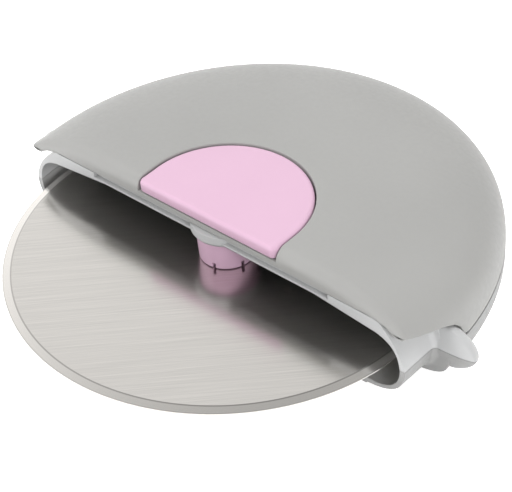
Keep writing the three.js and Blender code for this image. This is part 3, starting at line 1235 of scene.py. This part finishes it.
    def inner(self) -> np.ndarray:
        """The inner skin, with the flange behind the mouth.

        Returns:
            An array rows by columns by 3.
        """
        s, dome = self.sizes, Dome(self.sizes, self.sizes.wall)
        wide = s.button_r + s.fit + s.wall
        start = s.wall + 0.3
        spots = d_outline(wide, s.mouth + start, self.columns)
        shares = np.linspace(0, 1, self.columns)
        columns = [
            self.inner_column(dome, share, start, tuple(spot), False)
            for share, spot in zip(shares, spots)
        ]
        left, right = [], []
        for offset in np.linspace(0, s.wall, self.front_steps):
            for side, store in ((0.0, left), (1.0, right)):
                recess = (wide * (2 * side - 1), s.mouth + offset)
                store.append(self.inner_column(dome, side, offset, recess, True))
        return np.stack(left + columns + right[::-1], 1)

    def build(self) -> bpy.types.Object:
        """Makes the cover.

        Returns:
            The finished piece.
        """
        s = self.sizes
        outer, inner = self.outer(), self.inner()
        rows, columns = outer.shape[:2]
        tray_floor = outer[0].copy()
        tray_floor[:, 2] = s.top - self.tray
        under = inner[0].copy()
        under[:, 2] = s.top - self.flange
        parts = [outer.reshape(-1, 3), inner.reshape(-1, 3), tray_floor, under]
        starts = np.cumsum([0] + [len(p) for p in parts])
        o, i, t, u = starts[:4]
        faces = grid_faces(rows, columns, o) + grid_faces(rows, columns, i)
        last = (rows - 1) * columns
        for c in range(columns - 1):
            faces.append((o + c, o + c + 1, t + c + 1, t + c))
            faces.append((i + c, i + c + 1, u + c + 1, u + c))
            faces.append((o + last + c, o + last + c + 1, i + last + c + 1, i + last + c))
        end = columns - 1
        for r in range(rows - 1):
            for c in (0, end):
                a, b = r * columns + c, (r + 1) * columns + c
                faces.append((o + a, o + b, i + b, i + a))
        faces.append(tuple(t + c for c in range(columns)))
        faces.append(tuple(u + c for c in range(columns)))
        faces.append((o, t, t + end, o + end, u + end, u))
        cover = mesh_object("palm_cover", np.concatenate(parts), faces)
        for spots, radius in ((CENTRE, s.bore), (s.tray_spots, self.tray_hole)):
            drill(cover, spots, bar(radius, *self.hole_reach), segments=40)
        return keep(smooth(cover, 34), "grip", "top_cover", COVER)


@dataclass
class Shells:
    """The upper U frame and the lower shell that the wheel turns between."""

    sizes: Sizes
    ceiling_round: float = 6.2
    ceiling_drop: float = 1.7
    roof_thick: float = 1.7
    lip: float = 0.4
    setback: float = 1.1
    setback_half: float = 34.0
    waist_rise: float = 11.2
    waist_x: float = 54.0
    waist_lean: float = 7.8
    waist_fall: float = 8.3
    waist_tuck: float = 10.2
    hub_r: float = 6.9
    collar_r: float = 7.7
    collar_drop: float = 1.1
    waist_round: float = 1.5
    rear_spots: tuple = ((-33.01, 47.14), (0, 57.55), (33.01, 47.14))
    lug_spots: tuple = ((-56.5, 6.5), (56.5, 6.5))
    rear_boss_r: float = 2.6
    pilot_r: float = 1.15
    lug_pilot_rise: float = 4.2
    tray_pilot_low: float = 17.2
    hub_cover: float = 0.9
    rear_seat: tuple = (2.2, 3.4, 1.25)
    lug_seat: tuple = (2.0, 5.5, 1.15)

    def cavity(self) -> bpy.types.Object:
        """The round space the wheel turns in.

        Returns:
            The tool.
        """
        s = self.sizes
        edge, up, down = s.cavity_r - self.ceiling_round, s.roof - s.mid, s.mid - s.floor
        profile = [(0, -down), (edge, -down)]
        profile += quadratic(profile[-1], (s.cavity_r, 1 - down), (s.cavity_r, 0), 14)
        top = (edge, up - self.ceiling_drop)
        profile += quadratic(profile[-1], (s.cavity_r - 0.4, up - 2.7), top, 14)
        profile += [(edge * 0.66, up), (0, up)]
        return lathe("cavity", [(r, z + s.mid) for r, z in profile], 200)

    def waist(self, side: int) -> bpy.types.Object:
        """What the waist in front of one lug takes away.

        Args:
            side: -1 on the left and 1 on the right.
        Returns:
            The tool.
        """
        s = self.sizes
        top, low = self.waist_x - self.waist_lean, self.waist_x - self.waist_tuck
        outline = [(top, self.waist_rise)]
        outline += quadratic(
            outline[0], (self.waist_x - 1, self.waist_rise * 0.54), (self.waist_x, 0), 20
        )
        outline += quadratic(
            outline[-1],
            (self.waist_x, -self.waist_fall * 0.94),
            (low, -self.waist_fall),
            20,
        )
        outline += [(low, -20), (75, -20), (75, 20), (top, 20)]
        plan = np.array(outline) + [0, s.mid]
        end = s.lug_y - s.lug_front + 0.2
        layers, steps = [], 6
        grow = [(s.mouth - 5, 0.0)]
        for k in range(steps + 1):
            turn = math.pi / 2 * k / steps
            back, inset = 1 - math.sin(turn), 1 - math.cos(turn)
            grow.append((end - self.waist_round * back, self.waist_round * inset))
        for y, inset in grow:
            ring = plan.copy()
            ring[:, 0] = np.where(ring[:, 0] < 74, ring[:, 0] + inset, ring[:, 0])
            layers.append(np.stack([side * ring[:, 0], np.full(len(ring), y), ring[:, 1]], 1))
        return loft("waist", layers)

    def shape(self, body: bpy.types.Object) -> bpy.types.Object:
        """Cuts the waists, joins the lugs and opens the cavity and the mouth.

        Args:
            body: a half form.
        Returns:
            The body.
        """
        s = self.sizes
        for side in (-1, 1):
            combine(body, self.waist(side), Boolean.CUT)
            combine(body, Lug(s, side).solid(), Boolean.JOIN)
        combine(body, self.cavity(), Boolean.CUT)
        combine(body, block((-FAR, -FAR, -5), (FAR, s.mouth, HIGH)), Boolean.CUT)
        return body

    def upper(self) -> bpy.types.Object:
        """Makes the upper frame.

        Returns:
            The finished piece.
        """
        s = self.sizes
        body = Dome(s, s.wall + s.fit).solid("u_frame")
        self.shape(body)
        top = s.roof + self.roof_thick
        combine(body, block((-FAR, -FAR, -9), (FAR, FAR, s.mid + HAIRLINE)), Boolean.CUT)
        combine(body, block((-FAR, -FAR, top), (FAR, FAR, HIGH)), Boolean.CUT)
        half = self.setback_half
        start, end = (-half, s.mouth - 1, s.roof + self.lip), (half, s.mouth + self.setback, HIGH)
        combine(body, block(start, end), Boolean.CUT)
        combine(body, self.collar(s.roof - self.collar_drop, top - 0.02), Boolean.JOIN)
        drill(body, CENTRE, bar(self.hub_r, 0, top - self.hub_cover))
        drill(body, CENTRE, bar(s.bore, 0, HIGH))
        drill(body, self.rear_spots, bar(self.rear_boss_r, 0, HIGH))
        drill(body, self.lug_spots, bar(self.pilot_r, 0, s.mid + self.lug_pilot_rise))
        drill(body, s.tray_spots, bar(self.pilot_r, self.tray_pilot_low, HIGH))
        return keep(smooth(seal(body)), "grip", "upper_frame", SHELL)

    def collar(self, low: float, high: float) -> bpy.types.Object:
        """The collar round the upper hub, narrower at its lower end.

        Args:
            low: its lower end.
            high: its upper end.
        Returns:
            The tool.
        """
        profile = [(0, low), (self.hub_r + 0.15, low), (self.collar_r, low + 0.9)]
        profile += [(self.collar_r, high), (0, high)]
        return lathe("collar", profile, 96)

    def lower(self) -> bpy.types.Object:
        """Makes the lower shell.

        Returns:
            The finished piece.
        """
        s = self.sizes
        body = Dome(s, 0, up=False).solid("bottom_shell")
        self.shape(body)
        combine(body, block((-FAR, -FAR, s.mid - HAIRLINE), (FAR, FAR, HIGH)), Boolean.CUT)
        collar = bar(self.collar_r, s.floor - 1, s.floor + self.collar_drop)
        drill(body, CENTRE, collar, Boolean.JOIN)
        drill(body, CENTRE, bar(self.hub_r, s.floor - 0.5, HIGH))
        drill(body, self.rear_spots, self.seat(*self.rear_seat))
        drill(body, self.lug_spots, self.seat(*self.lug_seat))
        return keep(smooth(seal(body)), "grip", "lower_shell", SHELL)

    def seat(self, head: float, seat: float, shank: float) -> list:
        """Profile of the room for a screw.

        Args:
            head: radius of the recess.
            seat: height of its floor.
            shank: radius of the hole above it.
        Returns:
            The profile.
        """
        return [(0, -5), (head, -5), (head, seat), (shank, seat), (shank, HIGH), (0, HIGH)]

    def build(self) -> None:
        """Makes both shells."""
        self.upper()
        self.lower()


@dataclass
class Wheel:
    """The flat steel wheel with its ground edge, turned by a geometry rule."""

    sizes: Sizes
    half: float = 0.6
    grind: float = 1.9
    edge: float = 0.125
    bore_chamfer: float = 0.15
    segments: int = 288

    def build(self) -> bpy.types.Object:
        """Makes the wheel.

        Returns:
            The finished piece.
        """
        s = self.sizes
        rule = GeometryRule(
            "ground wheel",
            {
                "Radius": s.wheel_r * MM,
                "Bore": s.bore * MM,
                "Middle": s.mid * MM,
                "Half Thickness": self.half * MM,
                "Grind": self.grind * MM,
                "Half Edge": self.edge * MM,
                "Chamfer": self.bore_chamfer * MM,
                "Segments": self.segments,
            },
        )
        get, calc = rule.value, rule.math
        ground = calc("SUBTRACT", get("Radius"), get("Grind"))
        eased = calc("SUBTRACT", ground, get("Chamfer"))
        flank = calc("ADD", get("Bore"), get("Chamfer"))
        inner = calc("SUBTRACT", get("Half Thickness"), get("Chamfer"))
        level = {}
        for sign, name in ((-1.0, "low"), (1.0, "high")):
            heights = {"face": get("Half Thickness"), "rim": get("Half Edge"), "in": inner}
            for label, value in heights.items():
                level[name, label] = calc("ADD", get("Middle"), calc("MULTIPLY", value, sign))
        profile = [
            (get("Bore"), level["low", "in"]),
            (flank, level["low", "face"]),
            (eased, level["low", "face"]),
            (get("Radius"), level["low", "rim"]),
            (get("Radius"), level["high", "rim"]),
            (eased, level["high", "face"]),
            (flank, level["high", "face"]),
            (get("Bore"), level["high", "in"]),
        ]
        rule.close(rule.turned(profile, get("Segments")))
        wheel = rule.apply(empty_object("wheel"), MATERIALS[WHEEL.name])
        return keep(smooth(outward(wheel), 3), "wheel", "blade", WHEEL)


def outward(obj: bpy.types.Object) -> bpy.types.Object:
    """Turns an object's faces outwards.

    Args:
        obj: the object.
    Returns:
        The object.
    """
    bm = bmesh.new()
    bm.from_mesh(obj.data)
    bmesh.ops.recalc_face_normals(bm, faces=bm.faces)
    bm.to_mesh(obj.data)
    bm.free()
    return obj


@dataclass
class Button:
    """The pink D button, its axle pin, and the two hubs beside the wheel."""

    sizes: Sizes
    corner: float = 1.5
    rounding: float = 1.0
    low: float = 21.5
    pin_r: float = 3.5
    pin_low: float = 3.0
    flange_r: float = 5.0
    hub_r: float = 6.3
    hub_top_r: float = 6.6
    notches: int = 6
    notch_width: float = 0.8
    notch_height: float = 1.5
    notch_turn: float = -76.0
    hub_lift: float = 0.72
    hub_flare: float = 1.1
    hub_top: float = 18.4
    softness: float = 0.2
    under_low: float = 1.65
    under_gap: float = 0.9
    groove_rise: float = 1.65
    flange_room: tuple = (5.3, 22.6)
    screw_room: tuple = (2.2, 22.55)
    steps: int = 10

    def outline(self, inset: float) -> np.ndarray:
        """The D outline with rounded front corners.

        Args:
            inset: how far inside the full size.
        Returns:
            Closed outline points.
        """
        s = self.sizes
        radius, front = s.button_r - inset, s.mouth + inset
        corner = max(self.corner - inset, 0.02)
        turn = np.linspace(0, math.pi, 97)
        points = list(zip(radius * np.cos(turn), radius * np.sin(turn)))
        for side in (-1, 1):
            centre = (side * (radius - corner), front + corner)
            for a in np.linspace(math.pi, 1.5 * math.pi, 13) + (side + 1) * math.pi / 4:
                points.append((centre[0] + corner * math.cos(a), centre[1] + corner * math.sin(a)))
        return np.array(points)

    def cap(self) -> bpy.types.Object:
        """Makes the button.

        Returns:
            The finished piece.
        """
        s = self.sizes
        layers = [(self.low, 0.25), (self.low + 0.1, 0.07), (self.low + 0.25, 0.0)]
        for k in range(self.steps + 1):
            turn = math.pi / 2 * k / self.steps
            height = s.top - self.rounding * (1 - math.sin(turn))
            layers.append((height, self.rounding * (1 - math.cos(turn))))
        rings = []
        for z, inset in layers:
            plan = self.outline(inset)
            rings.append(np.column_stack([plan, np.full(len(plan), z)]))
        cap = loft("button", rings)
        for spots, (radius, high) in ((CENTRE, self.flange_room), (s.tray_spots, self.screw_room)):
            drill(cap, spots, bar(radius, 0, high))
        return keep(smooth(cap, 28), "button", "center_button", PINK)

    def pin(self) -> bpy.types.Object:
        """Makes the axle pin.

        Returns:
            The finished piece.
        """
        r, low, top = self.pin_r, self.pin_low, self.low + self.sizes.gap
        grip = self.sizes.mid + self.groove_rise
        profile = [(0, low), (r - 0.9, low), (r - 0.6, low + 0.12)]
        profile += [(r - 0.1, low + 0.75), (r, low + 1)]
        profile += [(r, grip - 0.35), (r - 0.25, grip - 0.25), (r - 0.35, grip)]
        profile += [(r - 0.25, grip + 0.25), (r, grip + 0.35), (r, top - 0.15)]
        profile += [(r + 0.15, top), (self.flange_r - 0.1, top), (self.flange_r, top + 0.1)]
        profile += [(self.flange_r, top + 0.7), (self.flange_r - 0.1, top + 0.8), (0, top + 0.8)]
        pin = lathe("steel_axle_pin", profile, 96)
        return keep(smooth(pin, 30), "button", "axle_pin", PIN)

    def upper_hub(self) -> bpy.types.Object:
        """Makes the notched hub above the wheel with a geometry rule.

        Returns:
            The finished piece.
        """
        s = self.sizes
        low, flare = s.mid + self.hub_lift, s.roof - self.hub_flare
        rule = GeometryRule(
            "notched hub",
            {
                "Bore": s.bore * MM,
                "Radius": self.hub_r * MM,
                "Top Radius": self.hub_top_r * MM,
                "Low": low * MM,
                "Flare Height": flare * MM,
                "Top": self.hub_top * MM,
                "Softness": self.softness * MM,
                "Notches": self.notches,
                "Notch Width": self.notch_width * MM,
                "Notch Height": self.notch_height * MM,
                "Notch Turn": math.radians(self.notch_turn),
            },
        )
        get, calc = rule.value, rule.math
        soft_r = calc("SUBTRACT", get("Radius"), get("Softness"))
        soft_z = calc("ADD", get("Low"), get("Softness"))
        profile = [
            (get("Bore"), get("Low")),
            (soft_r, get("Low")),
            (get("Radius"), soft_z),
            (get("Top Radius"), get("Flare Height")),
            (get("Top Radius"), get("Top")),
            (get("Bore"), get("Top")),
        ]
        body = rule.turned(profile, 120)
        tall = calc("MULTIPLY", get("Notch Height"), 2.0)
        links = {0: get("Radius"), 1: get("Notch Width"), 2: tall}
        size = rule.node("ShaderNodeCombineXYZ", links)
        cutter = rule.node("GeometryNodeMeshCube", {0: size.outputs[0]})
        ring = rule.node("GeometryNodeMeshCircle", {0: get("Notches"), 1: get("Radius")})
        index = rule.node("GeometryNodeInputIndex", {})
        step = calc("DIVIDE", 2 * math.pi, get("Notches"))
        turn = calc("MULTIPLY", index.outputs[0], step)
        spin = rule.node("ShaderNodeCombineXYZ", {2: turn})
        angle = rule.node("FunctionNodeEulerToRotation", {0: spin.outputs[0]})
        spread = rule.node(
            "GeometryNodeInstanceOnPoints",
            {0: ring.outputs[0], "Instance": cutter.outputs[0], "Rotation": angle.outputs[0]},
        )
        lift = rule.node("ShaderNodeCombineXYZ", {2: get("Low")})
        aim = rule.node("ShaderNodeCombineXYZ", {2: get("Notch Turn")})
        facing = rule.node("FunctionNodeEulerToRotation", {0: aim.outputs[0]})
        links = {"Translation": lift.outputs[0], "Rotation": facing.outputs[0]}
        turned = rule.node("GeometryNodeTransform", {0: spread.outputs[0], **links})
        real = rule.node("GeometryNodeRealizeInstances", {0: turned.outputs[0]})
        links = {0: body, 1: real.outputs[0]}
        how = {"operation": "DIFFERENCE", "solver": "EXACT"}
        cut = rule.node("GeometryNodeMeshBoolean", links, **how)
        rule.close(cut.outputs[0])
        hub = rule.apply(empty_object("notched_hub"), MATERIALS[PINK.name])
        return keep(smooth(outward(hub), 28), "grip", "upper_hub", PINK)

    def lower_hub(self) -> bpy.types.Object:
        """Makes the plain hub under the wheel.

        Returns:
            The finished piece.
        """
        s = self.sizes
        low, high, r = self.under_low, s.mid - self.under_gap, self.hub_top_r
        profile = [(s.bore, low), (r - 0.2, low), (r, low + 0.2), (r, high - 0.2)]
        profile += [(r - 0.2, high), (s.bore + 0.15, high), (s.bore, high - 0.15), (s.bore, low)]
        hub = lathe("plain_hub", profile, 96)
        return keep(smooth(hub, 28), "grip", "lower_hub", PINK)

    def build(self) -> None:
        """Makes the button, the pin and the hubs."""
        self.cap()
        self.pin()
        self.upper_hub()
        self.lower_hub()


@dataclass
class Screw:
    """A cross-slot screw; its thread follows a spiral laid by a geometry rule."""

    node: str
    pitch: float = 0.7
    thread: float = 0.22
    slot_half: float = 0.3
    heads: tuple = (1.2, 0.6)
    slots: tuple = (0.6, 0.38)
    shanks: tuple = (1.1, 1.0)
    small_head: float = 1.8
    flip: bool = False

    def build(self) -> bpy.types.Object:
        """Makes the screw inside its CAD box.

        Returns:
            The finished piece.
        """
        low, high = (to_mm(p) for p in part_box(self.node))
        centre = (low + high) / 2
        head_r, length = (high[0] - low[0]) / 2, high[2] - low[2]
        thick = self.heads[1] if self.flip else min(self.heads[0], length * 0.5)
        shank = self.shanks[int(head_r < self.small_head or self.flip)]
        core = shank - self.thread
        profile = [(0, 0), (head_r - 0.35, 0), (head_r - 0.1, 0.12), (head_r, 0.35)]
        profile += [(head_r, thick - 0.1), (head_r - 0.1, thick), (core, thick)]
        profile += [(core, length - core), (core * 0.5, length - 0.3), (0, length)]
        screw = lathe(self.node.replace("screw", "case_screw"), profile, 56)
        depth = self.slots[int(self.flip)]
        arm = head_r * 0.6
        for wide, deep in ((arm, self.slot_half), (self.slot_half, arm)):
            combine(screw, block((-wide, -deep, -1), (wide, deep, depth)), Boolean.CUT)
        rule = GeometryRule(
            "thread",
            {
                "Core": (core - 0.03) * MM,
                "Start": (thick + 0.3) * MM,
                "Length": (length - thick - core - 0.5) * MM,
                "Pitch": self.pitch * MM,
                "Depth": self.thread * MM,
            },
        )
        get, calc = rule.value, rule.math
        turns = calc("DIVIDE", get("Length"), get("Pitch"))
        spiral = rule.node(
            "GeometryNodeCurveSpiral",
            {0: 24, 1: turns, 2: get("Core"), 3: get("Core"), 4: get("Length")},
        )
        ridge = rule.node("GeometryNodeCurvePrimitiveCircle", {0: 6, 4: get("Depth")})
        tube = rule.node(
            "GeometryNodeCurveToMesh",
            {0: spiral.outputs[0], 1: ridge.outputs[0], "Fill Caps": True},
        )
        lift = rule.node("ShaderNodeCombineXYZ", {2: get("Start")})
        links = {0: tube.outputs[0], "Translation": lift.outputs[0]}
        raised = rule.node("GeometryNodeTransform", links)
        join = rule.node("GeometryNodeJoinGeometry", {0: raised.outputs[0]})
        rule.tree.links.new(rule.start.outputs["Geometry"], join.inputs[0])
        rule.close(join.outputs[0])
        rule.apply(screw, MATERIALS[SCREW.name])
        turn = Matrix.Rotation(math.pi, 4, "X") if self.flip else Matrix()
        base = high[2] if self.flip else low[2]
        place = Matrix.Translation((centre[0] * MM, centre[1] * MM, base * MM))
        screw.data.transform(place @ turn)
        return keep(smooth(screw, 30), "grip", self.node, SCREW)


@dataclass
class Studio:
    """Pale floor, soft lights and the camera."""

    azimuth: float = 45.062
    elevation: float = 40.226
    roll: float = 5.115
    distance: float = 0.430
    lens: float = 136.98
    shift_x: float = 0.0546
    shift_y: float = 0.0144
    bright_side: tuple = (-0.808, 0.303, -0.505)
    dim: float = 0.2
    bright: float = 1.36
    slope_range: tuple = (-0.6, 0.8)
    lamps: tuple = (
        ("key", (-0.5, -0.3, 0.8), 0.7, 6, False),
        ("top", (0.1, 0.5, 0.9), 0.9, 6, False),
        ("side", (0.75, -0.35, 0.4), 0.35, 6, False),
        ("edge", (-0.5, -0.72, 0.17), 0.22, 1.6, True),
    )

    def camera(self, aim: Vector) -> None:
        """Places the camera.

        Args:
            aim: the point it turns about.
        """
        a, e, t = (math.radians(v) for v in (self.azimuth, self.elevation, self.roll))
        back = Vector((math.sin(a) * math.cos(e), -math.cos(a) * math.cos(e), math.sin(e)))
        right = Vector((math.cos(a), math.sin(a), 0))
        up = back.cross(right)
        across = right * math.cos(t) - up * math.sin(t)
        over = right * math.sin(t) + up * math.cos(t)
        data = bpy.data.cameras.new("camera")
        data.lens, data.sensor_width = self.lens, 36
        data.shift_x, data.shift_y = self.shift_x, self.shift_y
        data.clip_start, data.clip_end = 0.01, 20
        camera = link("camera", data)
        place = Matrix((across, over, back)).transposed().to_4x4()
        place.translation = aim + back * self.distance
        camera.matrix_world = place
        bpy.context.scene.camera = camera

    def lamp(self, name: str, where: tuple, size: float, power: float, seen: bool) -> None:
        """Adds a soft square light aimed at the object.

        Args:
            name: its name.
            where: its place in metres.
            size: its side.
            power: its power.
            seen: whether shiny pieces mirror it.
        """
        data = bpy.data.lights.new(name, "AREA")
        data.shape, data.size, data.energy = "SQUARE", size, power
        lamp = link(name, data)
        lamp.location = where
        lamp.rotation_euler = (-Vector(where)).to_track_quat("-Z", "Y").to_euler()
        lamp.visible_glossy = seen

    def floor(self) -> None:
        """Adds the floor."""
        reach, low = 4.0, -2e-5
        mesh = bpy.data.meshes.new("floor")
        plan = [(-reach, -reach), (reach, -reach), (reach, reach), (-reach, reach)]
        mesh.from_pydata([(x, y, low) for x, y in plan], [], [(0, 1, 2, 3)])
        plane = link("floor", mesh)
        shader = Shader("floor")
        for label, value in {
            "Base Color": (0.93, 0.93, 0.93, 1),
            "Roughness": 0.9,
            "Specular IOR Level": 0.1,
            "Emission Color": (1, 1, 1, 1),
            "Emission Strength": 0.5,
        }.items():
            shader.set(label, value)
        clear = shader.node("ShaderNodeBsdfTransparent", {})
        back = shader.node("ShaderNodeNewGeometry", {}).outputs["Backfacing"]
        links = {0: back, 1: shader.main.outputs[0], 2: clear.outputs[0]}
        seen = shader.node("ShaderNodeMixShader", links)
        out = shader.tree.nodes["Material Output"]
        shader.feed(out.inputs["Surface"], seen.outputs[0])
        mesh.materials.append(shader.material)

    def build(self, aim: Vector) -> None:
        """Makes the studio.

        Args:
            aim: the point the camera turns about.
        """
        world = bpy.data.worlds.new("studio")
        world.use_nodes = True
        sky = Nodes(world.node_tree)
        look = sky.node("ShaderNodeTexCoord", {}).outputs["Generated"]
        links = {0: look, 1: self.bright_side}
        slope = sky.node("ShaderNodeVectorMath", links, operation="DOT_PRODUCT")
        low, high = self.slope_range
        links = {0: slope.outputs["Value"], 1: low, 2: high, 3: self.dim, 4: self.bright}
        ramp = sky.node("ShaderNodeMapRange", links)
        background = world.node_tree.nodes["Background"]
        sky.feed(background.inputs[1], ramp.outputs[0])
        sky.feed(background.inputs[0], (1, 0.995, 0.99, 1))
        bpy.context.scene.world = world
        self.floor()
        for lamp in self.lamps:
            self.lamp(*lamp)
        self.camera(aim)
        view = bpy.context.scene.view_settings
        view.view_transform = "Standard"
        view.look = "None"


def main() -> None:
    """Builds the cutter and its studio."""
    logging.basicConfig(level=logging.INFO)
    for finish in (COVER, SHELL, PINK, WHEEL, PIN, SCREW):
        MATERIALS[finish.name] = finish.material()
    sizes = Sizes.from_frame()
    Wheel(sizes).build()
    Button(sizes).build()
    PalmCover(sizes).build()
    Shells(sizes).build()
    for side in ("left", "center", "right"):
        Screw(f"rear_screw_{side}").build()
    for side in ("left", "right"):
        Screw(f"lug_screw_{side}").build()
        Screw(f"tray_screw_{side}", flip=True).build()
    Studio().build(Vector((0, 0, sizes.mid * MM)))


if __name__ == "__main__":
    main()
